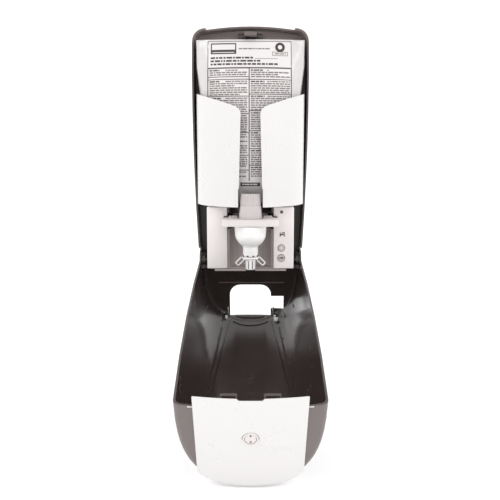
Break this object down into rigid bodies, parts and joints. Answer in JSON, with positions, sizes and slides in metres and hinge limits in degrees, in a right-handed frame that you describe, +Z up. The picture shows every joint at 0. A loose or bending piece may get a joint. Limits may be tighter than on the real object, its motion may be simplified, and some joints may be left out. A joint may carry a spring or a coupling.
{
  "type": "wall mounted foam soap dispenser",
  "caption": "Touch-free wall dispenser for foam soap, shown with its hinged front cover swung down over a refill pouch, lift yoke and pump.",
  "frame": {"origin": "centre of the rear housing's flat wall face", "axes": "+X to the viewer's right, +Y into the wall, +Z up"},
  "size_m": [0.131, 0.2904, 0.4319],
  "materials": {
    "black_gloss": "polished dark brown-black moulding",
    "white_gloss": "smooth white moulding",
    "light_grey": "satin light warm grey",
    "mid_grey": "satin mid grey",
    "natural_plastic": "translucent natural plastic",
    "pouch_film": "soft printed film, crinkled",
    "steel": "bright steel",
    "board_green": "circuit board",
    "lamp": "small lamp lens"
  },
  "bodies": {
    "housing": {"battery_1": "natural_plastic", "battery_2": "natural_plastic", "battery_3": "natural_plastic", "battery_4": "natural_plastic", "battery_contact_lower": "steel", "battery_contact_upper": "steel", "bay_liner": "mid_grey", "circuit_board": "board_green", "crank_shaft": "steel", "gear_motor": "steel", "gearbox_plate": "mid_grey", "hinge_pin_left": "steel", "hinge_pin_right": "steel", "idler_shaft": "steel", "latch_catch": "black_gloss", "left_column_cover": "light_grey", "module_base": "mid_grey", "plate_screw_1": "steel", "plate_screw_2": "steel", "plate_screw_3": "steel", "plate_screw_4": "steel", "pump_cup": "natural_plastic", "push_switch": "black_gloss", "rear_housing": "black_gloss", "refill_cradle": "white_gloss", "refill_pouch": "pouch_film", "right_column_cover": "light_grey", "sensor_emitter": "black_gloss", "sensor_receiver": "black_gloss", "sensor_window": "black_gloss", "status_led": "lamp"},
    "cover": {"cover_shell": "black_gloss", "front_panel": "white_gloss", "lock_ring": "light_grey", "chin_clip_left": "steel", "chin_clip_right": "steel"},
    "lock": {"lock_barrel": "light_grey", "lock_cam": "steel"},
    "yoke": {"lift_yoke": "light_grey", "pump_head": "white_gloss", "foam_nozzle": "white_gloss"},
    "crank": {"crank_gear": "natural_plastic"},
    "idler": {"idler_gear": "natural_plastic"},
    "pinion": {"motor_pinion": "steel"},
    "button": {"test_button": "light_grey"},
    "dial": {"dose_dial": "light_grey"}
  },
  "joints": [
    {"name": "cover_hinge", "type": "hinge", "parent": "housing", "child": "cover", "pos_m": [0, -0.034, -0.126], "axis": [-1, 0, 0], "range_deg": [0, 107.5]},
    {"name": "lock_turn", "type": "hinge", "parent": "cover", "child": "lock", "pos_m": [0, -0.27255, -0.23582], "axis": [0, -0.9537, -0.3007], "range_deg": [0, 90]},
    {"name": "yoke_lift", "type": "slide", "parent": "housing", "child": "yoke", "axis": [0, 0, 1], "range_m": [-0.006, 0.0025]},
    {"name": "crank_turn", "type": "hinge", "parent": "housing", "child": "crank", "pos_m": [0, -0.0394, -0.096], "axis": [0, -1, 0], "range_deg": [-130, 55]},
    {"name": "idler_turn", "type": "hinge", "parent": "housing", "child": "idler", "pos_m": [-0.00739, -0.0394, -0.1163], "axis": [0, -1, 0], "range_deg": [-165, 385]},
    {"name": "motor_turn", "type": "hinge", "parent": "housing", "child": "pinion", "pos_m": [0.01061, -0.0394, -0.1163], "axis": [0, -1, 0], "range_deg": [-895, 375]},
    {"name": "button_press", "type": "slide", "parent": "housing", "child": "button", "axis": [0, 1, 0], "range_m": [0, 0.001], "stiffness_N_per_m": 400, "springref_m": -0.0005},
    {"name": "dial_turn", "type": "hinge", "parent": "housing", "child": "dial", "pos_m": [0.0345, -0.066, -0.1182], "axis": [0, -1, 0], "range_deg": [0, 90]}
  ],
  "couplings": [
    {"joint": "crank_turn", "follows": "yoke_lift", "rad_per_m": 369.6},
    {"joint": "idler_turn", "follows": "yoke_lift", "rad_per_m": -1108.8},
    {"joint": "motor_turn", "follows": "yoke_lift", "rad_per_m": 2587.2}
  ]
}
